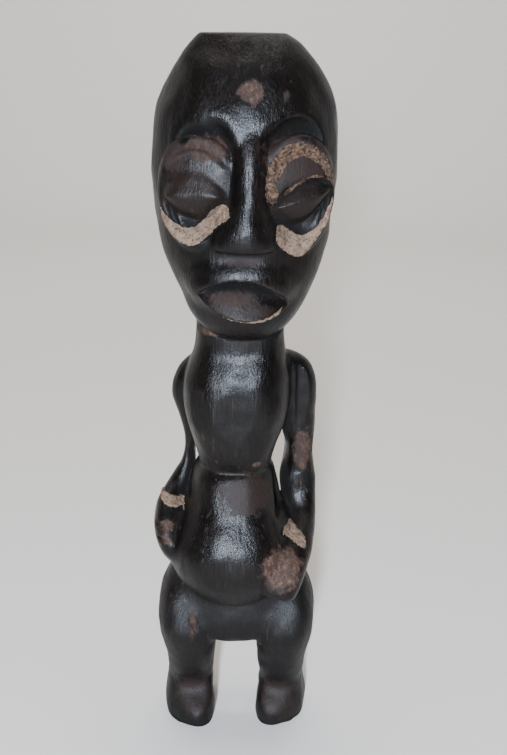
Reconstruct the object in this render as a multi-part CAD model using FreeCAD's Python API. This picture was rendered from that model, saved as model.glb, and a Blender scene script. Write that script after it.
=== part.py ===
"""Carved wooden fertility doll: one block of dark wood, with pale clay packed into some of its cuts.

Frame: millimetres, +Z up, the figure looks along -Y and its own left side is +X. The origin is on
the resting surface, under the middle of the figure. The wood is divided into solids only along the
deep creases that separate its carved forms, and each solid meets its neighbours face to face.
"""

import FreeCAD
import Part
import math
import os
from FreeCAD import Placement, Rotation, Vector

# ---- driving dimensions -------------------------------------------------------------------------
total_height = 300.0

# head
head_height = 113.5
chin_height = total_height - head_height
head_half_width = 35.8
face_depth = 33.0           # from the head's axis forward to the brow
skull_depth = 30.5          # from the head's axis back to the back of the head
crown_half_width = 13.4     # the flat, sawn crown
head_turn = 3.5             # degrees, the face looks a little to the figure's left

# eyes
socket_spacing = 39.5
socket_height = chin_height + 57.5
socket_half_width = 14.2
socket_half_height = 18.4
socket_depth = 6.0
lid_rise = 1.0              # the lids sit a little above the middles of their sockets
lid_half_width = 12.0
lid_half_height = 8.8
lid_swell = 5.8             # how far each lid stands out of the floor of its socket
slit_width = 0.9
eye_turn = 20.0             # degrees, each eye faces outwards by this much

# nose and mouth
nose_reach = 38.0           # from the head's axis to the tip
nose_base_height = chin_height + 38.5
nose_half_width = 10.2
bridge_half_width = 3.8
bridge_top_height = chin_height + 83.5
mouth_height = chin_height + 18.1
mouth_half_width = 17.2
lip_half_height = 7.4
lip_reach = 37.5            # from the head's axis to the rim of the lower lip
muzzle_half_width = 22.0

# neck and chest in one column
column_foot = 128.0
column_half_width = 22.0
column_x = -1.2             # the column and the belly stand a little to the figure's right
column_front = 24.0
column_back = 13.0
column_rise = 11.7          # how far the column runs up inside the head before it is trimmed

# belly
belly_foot = 68.5
belly_half_width = 28.6
belly_x = -1.8
belly_front = 36.0
belly_back = 15.0
waist_half_width = 15.0

# hips and legs
hip_half_width = 33.2
hip_front = 20.0
hip_back = 21.0
crotch_height = 46.5
knee_height = 47.0
knee_front = 22.5
thigh_half_width = 13.2
shin_half_width = 9.8
leg_spacing = 41.0          # between the middles of the two legs

# feet
foot_height = 21.0
right_foot_front = 18.2
left_foot_front = 15.2
foot_back = 16.0
foot_width = 22.0
foot_gap = 20.0             # clear width between the feet
toe_height = 8.0

# arms
shoulder_height = column_foot + 38.5
arm_half_depth = 8.0

# clay
clay_thickness = 0.8
clay_width = 4.8
patch_half_length = 4.8
patch_half_width = 2.3
left_wrist_outward = Vector(0.15, -0.66, 0.74)
right_wrist_outward = Vector(-0.3, -0.55, 0.78)

RING_POINTS = 20            # points that carry one closed outline


# ---- helpers ------------------------------------------------------------------------------------
def signed_power(value, power):
    return math.copysign(abs(value) ** power, value)


def ring(centre, wide, deep, half_width, half_front, half_back, squareness):
    """A closed smooth outline between an ellipse (squareness 2) and a rounded box (3 and more).

    wide and deep are unit vectors; the outline reaches half_front against deep and half_back along it.
    """
    power = 2.0 / squareness
    points = []
    for k in range(RING_POINTS):
        angle = 2 * math.pi * k / RING_POINTS
        across = half_width * signed_power(math.cos(angle), power)
        along = signed_power(math.sin(angle), power)
        along *= half_back if along > 0 else half_front
        points.append(centre + wide * across + deep * along)
    outline = Part.BSplineCurve()
    outline.interpolate(points, PeriodicFlag=True)
    return Part.Wire([outline.toShape()])


def level_ring(z, half_width, front, back, squareness=2.3, x=0.0, y=0.0):
    """A level outline about (x, y), reaching front towards -Y and back towards +Y."""
    return ring(Vector(x, y, z), Vector(1, 0, 0), Vector(0, 1, 0), half_width, front, back, squareness)


def skin(rings):
    return Part.makeLoft(rings, True, False)


def ellipsoid(centre, radii):
    stretch = FreeCAD.Matrix()
    stretch.scale(radii[0], radii[1], radii[2])
    ball = Part.makeSphere(1.0).transformGeometry(stretch)
    ball.translate(centre)
    return ball


def almond_bar(centre, half_width, half_height, half_length, tilt=0.0):
    """A bar along Y with an almond section: pointed at each side, tilted about its own axis."""
    radius = (half_width ** 2 + half_height ** 2) / (2 * half_height)
    offset = radius - half_height
    start = Vector(0, -half_length, 0)
    upper = Part.makeCylinder(radius, 2 * half_length, start - Vector(0, 0, offset), Vector(0, 1, 0))
    lower = Part.makeCylinder(radius, 2 * half_length, start + Vector(0, 0, offset), Vector(0, 1, 0))
    bar = upper.common(lower)
    bar.rotate(Vector(0, 0, 0), Vector(0, 1, 0), tilt)
    bar.translate(centre)
    return bar


def oval_bar(half_width, half_height):
    """A long bar along Y with an elliptical section, about the origin."""
    stretch = FreeCAD.Matrix()
    stretch.scale(half_width, 1.0, half_height)
    bar = Part.makeCylinder(1.0, 60.0, Vector(0, -30.0, 0), Vector(0, 1, 0))
    return bar.transformGeometry(stretch)


def half_space(height, tilt, above):
    """A large block above or below height, its face tilted about Y through the middle of that face."""
    block = Part.makeBox(80, 80, 40)
    block.translate(Vector(-40, -40, 0 if above else -40))
    block.rotate(Vector(0, 0, 0), Vector(0, 1, 0), tilt)
    block.translate(Vector(0, 0, height))
    return block


def along_limb(stations):
    """A limb skinned through (centre, half width, half depth), each outline square to the path."""
    rings = []
    deep = Vector(0, 1, 0)
    for k, (centre, half_width, half_depth) in enumerate(stations):
        before = stations[max(k - 1, 0)][0]
        after = stations[min(k + 1, len(stations) - 1)][0]
        path = (after - before).normalize()
        deep = (deep - path * deep.dot(path)).normalize()
        wide = path.cross(deep)
        rings.append(ring(centre, wide, deep, half_width, half_depth, half_depth, 2.4))
    return skin(rings)


def solids_of(shape):
    """The solids of a shape without crumbs, as one shape."""
    solids = [s for s in shape.Solids if s.Volume > 1.0]
    return solids[0] if len(solids) == 1 else Part.makeCompound(solids)


def without(shape, others):
    for other in others:
        shape = shape.cut(other)
    return solids_of(shape)


# ---- head ---------------------------------------------------------------------------------------
def head_blank():
    """The egg of the head from chin to crown, as shares of its height, width, front and back.

    The last number is how far that height leans to the figure's left, as a hand-carved head does.
    """
    crown = crown_half_width / head_half_width
    stations = [
        (0.000, 0.280, 0.640, -0.02, 2.2),
        (0.024, 0.430, 0.770, 0.10, 2.2),
        (0.066, 0.560, 0.850, 0.24, 2.1),
        (0.136, 0.685, 0.915, 0.42, 2.1),
        (0.225, 0.815, 0.955, 0.63, 1.6),
        (0.330, 0.915, 0.970, 0.82, 1.0),
        (0.454, 0.975, 0.985, 0.95, 0.6),
        (0.577, 0.995, 1.000, 1.00, 0.8),
        (0.700, 0.985, 0.970, 0.97, 0.9),
        (0.806, 0.900, 0.865, 0.87, 1.4),
        (0.894, 0.740, 0.700, 0.69, 1.8),
        (0.958, 0.560, 0.520, 0.51, 1.3),
        (1.000, crown, 0.375, 0.365, -1.6),
    ]
    rings = []
    for share, width, front, back, lean in stations:
        front_y = -face_depth * front
        back_y = skull_depth * back
        middle_y = min(0.0, (front_y + back_y) / 2)
        rings.append(level_ring(chin_height + share * head_height, head_half_width * width,
                                middle_y - front_y, back_y - middle_y, x=lean, y=middle_y))
    return skin(rings)


def face_reach(x):
    """How far forward the face stands at a distance x from its middle, near eye height."""
    return face_depth * (1 - abs(x / head_half_width) ** 2.3) ** (1 / 2.3)


def on_face(shape, side):
    """Moves a shape modelled about the middle of an eye, seen along +Y, to its place on the face."""
    x = side * socket_spacing / 2
    shape.rotate(Vector(0, 0, 0), Vector(0, 0, 1), side * eye_turn)
    shape.translate(Vector(x, -face_reach(x), socket_height))
    return shape


def socket_cutter(side):
    """The round hollow of one eye, and the shallower dish that frames its upper half under the brow."""
    reach = 11.0
    hollow = ellipsoid(Vector(0, socket_depth - reach, 0), (socket_half_width, reach, socket_half_height))
    dish = ellipsoid(Vector(0, -6.6, 0.74 * socket_half_height),
                     (socket_half_width * 1.75, 8.6, socket_half_height * 1.2))
    return on_face(hollow.fuse(dish), side)


def lid(side):
    """One almond lid, pointed at both corners, with a slit across it."""
    tilt = -7.0 if side > 0 else 0.0
    centre = Vector(0, socket_depth, lid_rise)
    ball = ellipsoid(centre, (lid_half_width * 1.04, lid_swell, lid_half_height * 1.15))
    almond = almond_bar(centre, lid_half_width, lid_half_height, 20.0, tilt).common(ball)
    slit = Part.makeBox(2.4 * lid_half_width, 4.0, slit_width)
    slit.translate(Vector(-1.2 * lid_half_width, -4.0, -slit_width / 2))
    slit.rotate(Vector(0, 0, 0), Vector(0, 1, 0), tilt)
    slit.translate(centre + Vector(0, 2.0 - lid_swell, -1.4))
    return on_face(almond.cut(slit), side)


def nose():
    """A straight narrow bridge that opens into the forehead and spreads into a blunt base."""
    root_y = -24.0
    stations = [
        (nose_base_height, nose_half_width, nose_reach - 0.4),
        (nose_base_height + 3.0, nose_half_width * 0.93, nose_reach),
        (nose_base_height + 7.5, nose_half_width * 0.62, nose_reach - 1.0),
        (nose_base_height + 14.0, bridge_half_width * 1.05, nose_reach - 2.6),
        (nose_base_height + 26.0, bridge_half_width, nose_reach - 3.8),
        (bridge_top_height - 9.0, bridge_half_width * 1.5, nose_reach - 4.6),
        (bridge_top_height, bridge_half_width * 2.5, nose_reach - 6.4),
    ]
    return skin([level_ring(z, half_width, reach + root_y, 3.0, 2.6, y=root_y)
                 for z, half_width, reach in stations])


def bowed_block(spread, reach_above, reach_below):
    """A block bowed like the teeth, spread wider than the lip; its front leans out towards the bottom."""
    back_y = -14.0
    low = mouth_height - lip_half_height - spread
    high = mouth_height + lip_half_height + spread
    half_width = mouth_half_width + 2.0 + spread
    reaches = ((low, reach_below), ((low + high) / 2, (reach_above + reach_below) / 2), (high, reach_above))
    return skin([level_ring(z, half_width, reach + back_y, 3.0 + spread, y=back_y) for z, reach in reaches])


def with_mouth(head):
    """The head with a swelling muzzle whose lower edge overhangs one sharp-rimmed, almond-shaped lip."""
    muzzle = ellipsoid(Vector(0, -18.0, mouth_height + 8.6), (muzzle_half_width, 18.6, 18.0))
    centre = Vector(0, -30.0, mouth_height)
    opening = almond_bar(centre + Vector(0, 0, 0.4), mouth_half_width + 0.7, lip_half_height + 0.9, 20.0)
    opening = opening.cut(bowed_block(1.8, lip_reach - 9.0, lip_reach - 5.0))
    lip = almond_bar(centre, mouth_half_width, lip_half_height, 20.0)
    lip = lip.common(bowed_block(1.2, lip_reach - 6.2, lip_reach + 0.6))
    return head.fuse(muzzle).cut(opening).fuse(lip)


def build_head():
    head = head_blank()
    for side in (-1, 1):
        head = head.cut(socket_cutter(side)).fuse(lid(side))
    head = with_mouth(head.fuse(nose()))
    return turned_head(solids_of(head))


def turned_head(shape):
    shape.rotate(Vector(0, 0, 0), Vector(0, 0, 1), head_turn)
    return shape


# ---- clay in the cuts of the face and on the wrists ---------------------------------------------
def clay_skin(ground, outline):
    """The layer of clay on ground inside outline: as thick along Y as clay_thickness."""
    proud = ground.copy()
    proud.translate(Vector(0, -clay_thickness, 0))
    return solids_of(outline.common(proud).cut(ground))


def crescent(side, head):
    """Clay along the lower rim of one socket: thick below, thinning to nothing at the outer end."""
    drop = 2.0 if side > 0 else 0.0
    outer = oval_bar(socket_half_width + 0.2, socket_half_height - 0.4)
    inner = oval_bar(socket_half_width - 1.6, socket_half_height - 3.4)
    inner.translate(Vector(side * 1.6, 0, clay_width - 2.4))
    band = outer.cut(inner).cut(half_space(-2.0 - 2.0 * drop, -side * 10.0, above=True))
    band.translate(Vector(0, 0, -drop))
    return clay_skin(head, turned_head(on_face(band, side)))


def brow_arc(head):
    """A broad worn arc of clay round the upper rim of the left socket."""
    outer = oval_bar(socket_half_width - 0.4, socket_half_height + 0.8)
    inner = oval_bar(socket_half_width - 3.6, socket_half_height - 3.0)
    band = outer.cut(inner).cut(half_space(3.0, -12.0, above=False))
    return clay_skin(head, turned_head(on_face(band, 1)))


def lip_line(head):
    """A thin line of clay along the rim under the figure's left half of the lip."""
    centre = Vector(0, -30.0, mouth_height)
    outer = almond_bar(centre, mouth_half_width, lip_half_height, 30.0)
    inner = almond_bar(centre + Vector(0, 0, 0.9), mouth_half_width, lip_half_height, 40.0)
    half = Part.makeBox(mouth_half_width * 0.66, 80.0, lip_half_height * 2)
    half.translate(Vector(mouth_half_width * 0.12, -70.0, mouth_height - lip_half_height * 2))
    return clay_skin(head, turned_head(outer.cut(inner).common(half)))


def wrist_patch(ground, centre, outward, turn):
    """An oval of clay on the back of one wrist: the bar along outward through centre marks it out."""
    oval = oval_bar(patch_half_length, patch_half_width)
    oval.rotate(Vector(0, 0, 0), Vector(0, 1, 0), turn)
    near_end = Part.makeBox(60, 20, 60, Vector(-30, -14, -30))
    oval = oval.common(near_end)
    oval.Placement = Placement(centre, Rotation(Vector(0, -1, 0), outward)).multiply(oval.Placement)
    proud = ground.copy()
    proud.translate(outward.normalize() * clay_thickness)
    return solids_of(oval.common(proud).cut(ground))


# ---- trunk --------------------------------------------------------------------------------------
def build_column(head):
    """Neck and chest as one swelling column that runs up into the underside of the head."""
    length = chin_height - column_foot
    stations = [
        (0.00, 0.665, 0.80, 0.88, 1.0),
        (0.05, 0.690, 0.84, 0.90, 1.0),
        (0.19, 0.800, 0.93, 0.95, 1.0),
        (0.36, 0.940, 0.99, 1.00, 1.0),
        (0.52, 1.000, 1.00, 1.00, 0.9),
        (0.73, 0.935, 0.90, 0.92, 0.5),
        (0.93, 0.820, 0.75, 0.85, 0.1),
        (1 + column_rise / length, 0.780, 0.60, 0.80, 0.0),
    ]
    column = skin([level_ring(column_foot + share * length, column_half_width * width,
                              column_front * front, column_back * back, 2.7, x=column_x * lean)
                   for share, width, front, back, lean in stations])
    return without(column, [head])


def build_belly():
    """The pear of the belly, with the small of the back behind it."""
    length = column_foot - belly_foot
    top = waist_half_width / belly_half_width
    stations = [
        (0.00, 0.380, 0.56, 0.80),
        (0.045, 0.58, 0.73, 0.92),
        (0.13, 0.780, 0.86, 1.00),
        (0.24, 0.930, 0.96, 1.00),
        (0.36, 1.000, 1.00, 1.00),
        (0.48, 0.960, 0.985, 0.97),
        (0.64, 0.785, 0.87, 0.90),
        (0.84, 0.640, 0.71, 0.85),
        (1.00, top, 0.60, 0.82),
    ]
    return skin([level_ring(belly_foot + share * length, belly_half_width * width,
                            belly_front * front, belly_back * back, x=belly_x)
                 for share, width, front, back in stations])


def build_hips(belly):
    """Hips and seat in one mass, cupping the belly from below."""
    stations = [
        (0, 0.600, 0.76, 0.80),
        (4, 0.820, 0.92, 0.94),
        (11, 0.985, 1.00, 1.02),
        (19, 0.985, 0.96, 1.03),
        (29, 0.860, 0.80, 0.94),
        (38, 0.660, 0.60, 0.80),
    ]
    hips = skin([level_ring(crotch_height + rise, hip_half_width * width, hip_front * front,
                            hip_back * back, 2.5, x=-0.8) for rise, width, front, back in stations])
    return without(hips, [belly])


# ---- arms ---------------------------------------------------------------------------------------
def beside_column(side, out, back, drop):
    """A point at the shoulder or upper arm: out past the column's side, drop below the shoulder."""
    return Vector(side * (column_half_width + out), back, shoulder_height - drop)


def beside_belly(side, across, back, drop):
    """A point of the forearm, with across a share of the belly's half width."""
    return Vector(belly_x + side * across * belly_half_width, back, shoulder_height - drop)


def on_belly(side, across, forward, drop):
    """A point of the wrist or hand, placed by shares of the belly's half width and front."""
    return beside_belly(side, across, -forward * belly_front, drop)


def left_arm_path():
    """Shoulder, hanging upper arm, elbow, forearm and the broad hand on the front of the belly."""
    return [
        (beside_column(1, -13.0, 7, 0), 7.0, 6.5),
        (beside_column(1, -4.5, 8, 0.3), 8.0, 7.5),
        (beside_column(1, 2.2, 9, 6), 7.8, arm_half_depth),
        (beside_column(1, 2.6, 10, 17), 7.8, arm_half_depth),
        (beside_column(1, 3.4, 10.5, 26), 7.2, arm_half_depth),
        (beside_column(1, 4.2, 11, 36), 5.9, arm_half_depth),
        (beside_belly(1, 0.965, 10, 52), 7.8, arm_half_depth + 0.2),
        (beside_belly(1, 1.007, 5, 65), 6.7, arm_half_depth),
        (beside_belly(1, 0.993, -4, 70.5), 6.9, arm_half_depth - 0.5),
        (on_belly(1, 0.937, 0.375, 73), 7.0, 7.2),
        (on_belly(1, 0.825, 0.597, 76.5), 8.6, 7.4),
        (on_belly(1, 0.727, 0.750, 82), 9.2, 6.6),
        (on_belly(1, 0.664, 0.794, 88.5), 8.2, 5.6),
    ]


def right_arm_path():
    """A narrower arm: it draws in to the elbow behind the waist, then the forearm swings out."""
    return [
        (beside_column(-1, -13.0, 7, 1.5), 7.0, 6.5),
        (beside_column(-1, -6.5, 8, 1.5), 8.0, 7.5),
        (beside_column(-1, -1.4, 9, 8), 7.8, arm_half_depth),
        (beside_column(-1, -1.8, 10, 19), 6.4, arm_half_depth),
        (beside_column(-1, -2.5, 11, 30), 3.6, arm_half_depth),
        (beside_belly(-1, 0.675, 11.5, 37.5), 1.7, 7.6),
        (beside_belly(-1, 0.699, 10.5, 44), 2.6, 7.6),
        (beside_belly(-1, 0.752, 8.0, 49.5), 4.2, 7.6),
        (beside_belly(-1, 0.867, 4, 56), 5.2, 7.6),
        (beside_belly(-1, 0.965, -3, 60.5), 5.6, 7.6),
        (on_belly(-1, 0.993, 0.264, 65.5), 5.2, 7.6),
        (on_belly(-1, 0.958, 0.403, 71.5), 4.8, 7.0),
        (on_belly(-1, 0.888, 0.500, 77.5), 4.0, 5.4),
    ]


# ---- legs ---------------------------------------------------------------------------------------
def build_foot(side):
    """A wedge foot: straight inside, slanting outside, toe turned in, flat sole, sloping instep."""
    inner = foot_gap / 2
    outer = inner + foot_width
    foot_front = left_foot_front if side > 0 else right_foot_front
    plan = [
        (inner + 1.0, foot_back),
        (inner, 0),
        (inner + 0.8, -foot_front * 0.66),
        (inner + foot_width * 0.26, -foot_front),
        (inner + foot_width * 0.58, -foot_front * 0.80),
        (outer - 1.4, -foot_front * 0.30),
        (outer, 3),
        (outer - 3, foot_back),
    ]
    middle = (inner + outer) / 2
    rings = []
    for z, spread in ((0.0, 0.93), (2.5, 1.0), (9.0, 1.0), (foot_height, 0.91)):
        outline = Part.BSplineCurve()
        outline.interpolate([Vector(side * (middle + (x - middle) * spread), y * spread, z) for x, y in plan],
                            PeriodicFlag=True)
        rings.append(Part.Wire([outline.toShape()]))
    instep = math.degrees(math.atan2(foot_height - toe_height, foot_front))
    above = Part.makeBox(200, 200, 60)
    above.translate(Vector(-100, -200, 0))
    above.rotate(Vector(0, 0, 0), Vector(1, 0, 0), instep)
    above.translate(Vector(0, -3, foot_height - 1.0))
    return without(skin(rings), [above])


def build_leg(side, neighbours):
    """A short thigh that bulges forward to the knee, over a shin that falls back to the foot."""
    x = side * leg_spacing / 2
    stations = [
        (foot_height - 8, 0.98 * shin_half_width, 10.0, 12.0, 0.0),
        (foot_height + 3, 1.00 * shin_half_width, 11.0, 12.5, 0.0),
        ((foot_height + knee_height) / 2, 1.10 * shin_half_width, 0.70 * knee_front, 13.0, 0.0),
        (knee_height - 3, 0.94 * thigh_half_width, 0.90 * knee_front, 13.5, 0.4),
        (knee_height + 6, 1.00 * thigh_half_width, knee_front, 14.0, 0.9),
        (knee_height + 15, 0.93 * thigh_half_width, 0.88 * knee_front, 14.0, 1.4),
        (knee_height + 23, 0.72 * thigh_half_width, 0.62 * knee_front, 12.0, 2.0),
        (knee_height + 27, 0.40 * thigh_half_width, 0.36 * knee_front, 8.0, 2.4),
    ]
    leg = skin([level_ring(z, half_width, front, back, 2.5, x=x + side * splay)
                for z, half_width, front, back, splay in stations])
    return without(leg, neighbours)


# ---- write --------------------------------------------------------------------------------------
def main():
    head = build_head()
    belly = build_belly()
    column = build_column(head)
    hips = build_hips(belly)
    parts = {"head": head, "neck_chest": column, "belly": belly, "hips": hips}
    trunk = [head, column, belly, hips]
    for side, name in ((1, "left"), (-1, "right")):
        foot = build_foot(side)
        parts[f"{name}_leg"] = build_leg(side, [foot, hips, belly])
        parts[f"{name}_foot"] = foot
        parts[f"{name}_eye_clay"] = crescent(side, head)
    parts["left_arm"] = without(along_limb(left_arm_path()), trunk)
    parts["right_arm"] = without(along_limb(right_arm_path()), trunk)
    parts["left_wrist_clay"] = wrist_patch(parts["left_arm"], on_belly(1, 0.832, 0.556, 68.5),
                                            left_wrist_outward, 25)
    parts["right_wrist_clay"] = wrist_patch(parts["right_arm"], on_belly(-1, 0.888, 0.139, 58.0),
                                             right_wrist_outward, -20)
    parts["lip_clay"] = lip_line(head)
    parts["brow_clay"] = brow_arc(head)
    box = Part.makeCompound(list(parts.values())).optimalBoundingBox(False, False)
    to_origin = Vector(-(box.XMin + box.XMax) / 2, -(box.YMin + box.YMax) / 2, -box.ZMin)
    print("moved to the origin by", to_origin)
    os.makedirs("parts", exist_ok=True)
    for name, shape in parts.items():
        shape.translate(to_origin)
        shape.exportStep(f"parts/{name}.step")
        print(name, len(shape.Solids), round(shape.Volume, 1), shape.isValid())


main()
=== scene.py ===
# %% [markdown]
# # A carved fertility doll in Blender
# The real object is one block of dark stained wood, carved by hand and rubbed until it shines, with pale
# clay packed into some of its cuts. The solid model has already been made. This lesson gives it a
# sculptor's surface: softer joints, sharper eyes, flats left by the knife, worn places and lumpy clay.
# The first cell loads the solid model. Its pieces stay where they are, and each is covered by a finer one.

# %% Load the solid model
import bpy
import bmesh
import math
from mathutils import Matrix, Vector, noise
from mathutils.bvhtree import BVHTree


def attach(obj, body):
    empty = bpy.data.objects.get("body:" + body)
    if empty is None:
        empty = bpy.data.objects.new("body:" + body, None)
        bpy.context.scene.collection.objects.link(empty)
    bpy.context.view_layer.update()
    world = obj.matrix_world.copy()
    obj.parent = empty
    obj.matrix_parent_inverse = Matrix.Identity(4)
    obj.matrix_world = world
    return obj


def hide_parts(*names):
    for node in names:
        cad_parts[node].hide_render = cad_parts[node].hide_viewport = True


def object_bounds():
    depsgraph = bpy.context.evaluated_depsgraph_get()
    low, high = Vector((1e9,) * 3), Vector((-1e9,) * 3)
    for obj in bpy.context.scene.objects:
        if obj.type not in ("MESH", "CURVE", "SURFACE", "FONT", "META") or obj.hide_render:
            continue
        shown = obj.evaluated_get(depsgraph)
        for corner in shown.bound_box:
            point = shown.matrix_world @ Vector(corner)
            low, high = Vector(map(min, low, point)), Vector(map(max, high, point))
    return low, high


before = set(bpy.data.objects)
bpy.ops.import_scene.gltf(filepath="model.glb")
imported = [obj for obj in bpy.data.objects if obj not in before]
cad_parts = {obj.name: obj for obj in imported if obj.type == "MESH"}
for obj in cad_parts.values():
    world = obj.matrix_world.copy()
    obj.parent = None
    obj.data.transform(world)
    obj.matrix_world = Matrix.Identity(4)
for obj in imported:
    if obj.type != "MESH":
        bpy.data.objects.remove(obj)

cad_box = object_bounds()
print("solid model, metres:", cad_box)

# %% [markdown]
# ## Camera, light and table
# The doll is seen from a little above, close to, so the head looks large and the feet small. Polished wood
# shows its light as a small hard streak, so one small bright window stands behind the viewer, near the
# height of the eyes. A ceiling panel lights the tops of things, two weak walls give the edges a faint line,
# and a washer lights the pale wall behind. A broad front light was not used, as it makes dark wood look grey.

# %% Camera
LOOKING_DOWN = 70.6         # degrees from straight down
SLIGHT_ROLL = 1.1           # degrees
FOCAL_LENGTH = 48.64        # mm, on a sensor 36 mm wide

lens = bpy.data.cameras.new("camera")
camera = bpy.data.objects.new("camera", lens)
bpy.context.scene.collection.objects.link(camera)
lens.sensor_width = 36
lens.lens = FOCAL_LENGTH
lens.clip_start = 0.01
viewpoint = Matrix.Translation((0.005231, -0.396266, 0.305))
tilt = Matrix.Rotation(math.radians(LOOKING_DOWN), 4, "X")
roll = Matrix.Rotation(math.radians(SLIGHT_ROLL), 4, "Z")
camera.matrix_world = viewpoint @ tilt @ roll
bpy.context.scene.camera = camera


# %% Light
def panel(name, place, target, width, height, watts, colour=(1, 1, 1)):
    """A flat light at a place, turned to face a target; sizes in metres."""
    light = bpy.data.lights.new(name, "AREA")
    light.shape = "RECTANGLE"
    light.size = width
    light.size_y = height
    light.energy = watts
    light.color = colour
    holder = bpy.data.objects.new(name, light)
    bpy.context.scene.collection.objects.link(holder)
    holder.location = place
    holder.rotation_euler = (Vector(target) - Vector(place)).to_track_quat("-Z", "Y").to_euler()
    return holder


panel("front window", (-0.07, -1.00, 0.44), (0, 0, 0.20), 0.06, 0.14, 42, (0.76, 0.85, 1.0))
panel("ceiling", (0.0, 0.0, 1.4), (0, 0, 0.1), 0.7, 0.5, 8, (1.0, 0.97, 0.93))
panel("wall washer", (0.0, 0.7, 1.5), (0, 1.7, 0.3), 1.6, 0.3, 26, (1.0, 0.98, 0.95))
panel("left wall", (-1.0, 0.5, 0.4), (0, 0, 0.15), 0.5, 0.8, 1.6)
panel("right wall", (1.0, 0.5, 0.4), (0, 0, 0.15), 0.5, 0.8, 1.4)
room = bpy.data.worlds.new("room")
room.use_nodes = True
room.node_tree.nodes["Background"].inputs["Color"].default_value = (0.86, 0.86, 0.88, 1)
room.node_tree.nodes["Background"].inputs["Strength"].default_value = 0.12
bpy.context.scene.world = room

# %% [markdown]
# ## Joining and cutting
# Everything is shaped on a bench measured in millimetres and put back in metres at the end. A mass is
# joined on or cut away with a Boolean modifier, as clay is added and wood is removed. A voxel remesh then
# lays one even net of small faces over the whole form, so that smoothing and carving act the same all over.

# %% Join, cut and remesh
MM = 0.001
HEAD_TURN = math.radians(3.5)
FACE_PLACE = Matrix.Translation((-0.469, 3.734, 0)) @ Matrix.Rotation(HEAD_TURN, 4, "Z")


def only(thing):
    """Selects one object and nothing else."""
    bpy.ops.object.select_all(action="DESELECT")
    thing.select_set(True)
    bpy.context.view_layer.objects.active = thing


def finish_with(thing, kind, **settings):
    """Adds one modifier with these settings and applies it."""
    only(thing)
    modifier = thing.modifiers.new(kind.title(), kind)
    for name, value in settings.items():
        setattr(modifier, name, value)
    bpy.ops.object.modifier_apply(modifier=modifier.name)


def combine(body, operation, tool):
    """Uses the tool on the body once, and clears the tool away."""
    finish_with(body, "BOOLEAN", operation=operation, solver="MANIFOLD", object=tool)
    bpy.data.objects.remove(tool, do_unlink=True)


def join_on(body, tool):
    combine(body, "UNION", tool)


def cut_away(body, tool):
    combine(body, "DIFFERENCE", tool)


def keep_inside(body, tool):
    combine(body, "INTERSECT", tool)


def remesh(body, size):
    finish_with(body, "REMESH", mode="VOXEL", voxel_size=size, adaptivity=0)


print("bench scale:", MM, "m to a millimetre; the face is turned", math.degrees(HEAD_TURN), "degrees")

# %% [markdown]
# ## Gouges and chisels
# A round gouge leaves part of an ellipsoid and a flat chisel leaves part of a box. Both are the plain
# solids that Blender starts from, stretched and turned, because such a cut needs no more than that.


# %% Gouge and chisel
def egg(centre, radii, lean=0, turn=0, nod=0):
    """An ellipsoid gouge or swelling; the angles turn it about Y, Z and X, in degrees."""
    bpy.ops.object.select_all(action="DESELECT")
    angles = (math.radians(nod), math.radians(lean), math.radians(turn))
    bpy.ops.mesh.primitive_uv_sphere_add(segments=64, ring_count=40, location=centre,
                                         rotation=angles, scale=radii)
    bpy.ops.object.transform_apply(location=True, rotation=True, scale=True)
    return bpy.context.object


def chisel(centre, size, turn=0, nod=0, lean=0):
    """A flat-sided cutter; the angles turn it about Z, X and Y, in degrees."""
    bpy.ops.object.select_all(action="DESELECT")
    angles = (math.radians(nod), math.radians(lean), math.radians(turn))
    bpy.ops.mesh.primitive_cube_add(size=1, location=centre, rotation=angles)
    bpy.context.object.scale = size
    bpy.ops.object.transform_apply(location=True, rotation=True, scale=True)
    return bpy.context.object


# %% [markdown]
# ## A form grown upwards
# The head and the nose have no flat side to start from. Such a form is grown from a circle: the top face is
# pulled up and stretched, ring after ring, and the steps are then rounded off by subdividing. A stack of
# separate slices would need a seam at every height, and one stretched ball couldn't be steered so closely.


# %% Grow a form
def set_outward():
    """Turns every face of the mesh that is being edited outwards."""
    bpy.ops.mesh.select_all(action="SELECT")
    bpy.ops.mesh.normals_make_consistent(inside=False)


def grown(outlines, points=48, levels=2, squareness=1.0):
    """A form grown upwards from a circle: each outline is (height, x, half width, front, back).

    squareness below 1 pulls the circle towards a rounded square, and above 1 towards a diamond.
    """
    height, x, half_width, front, back = outlines[0]
    bpy.ops.object.select_all(action="DESELECT")
    bpy.ops.mesh.primitive_circle_add(vertices=points, fill_type="NGON",
                                      location=(x, (back - front) / 2, height))
    form = bpy.context.object
    for vertex in form.data.vertices:
        vertex.co.x = math.copysign(abs(vertex.co.x) ** squareness, vertex.co.x)
        vertex.co.y = math.copysign(abs(vertex.co.y) ** squareness, vertex.co.y)
    form.scale = (half_width, (front + back) / 2, 1)
    bpy.ops.object.transform_apply(location=True, rotation=True, scale=True)
    bpy.ops.object.mode_set(mode="EDIT")
    bpy.ops.mesh.select_all(action="SELECT")
    for before, after in zip(outlines, outlines[1:]):
        step = (after[1] - before[1], (after[4] - after[3] - before[4] + before[3]) / 2,
                after[0] - before[0])
        bpy.ops.mesh.extrude_region_move(TRANSFORM_OT_translate={"value": step})
        middle = (after[1], (after[4] - after[3]) / 2, after[0])
        wider = after[2] / before[2]
        deeper = (after[3] + after[4]) / (before[3] + before[4])
        bpy.ops.transform.resize(value=(wider, deeper, 1), center_override=middle)
    set_outward()
    bpy.ops.object.mode_set(mode="OBJECT")
    finish_with(form, "SUBSURF", levels=levels, render_levels=levels)
    return form


# %% [markdown]
# ## Surface work
# These helpers fetch a solid to the bench, soften a place, give the surface the broad unevenness of a knife,
# and note where it stands out, since handling wears the edges first. The wear is noted in the mesh itself,
# so it follows the carving and needs no painting.


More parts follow.
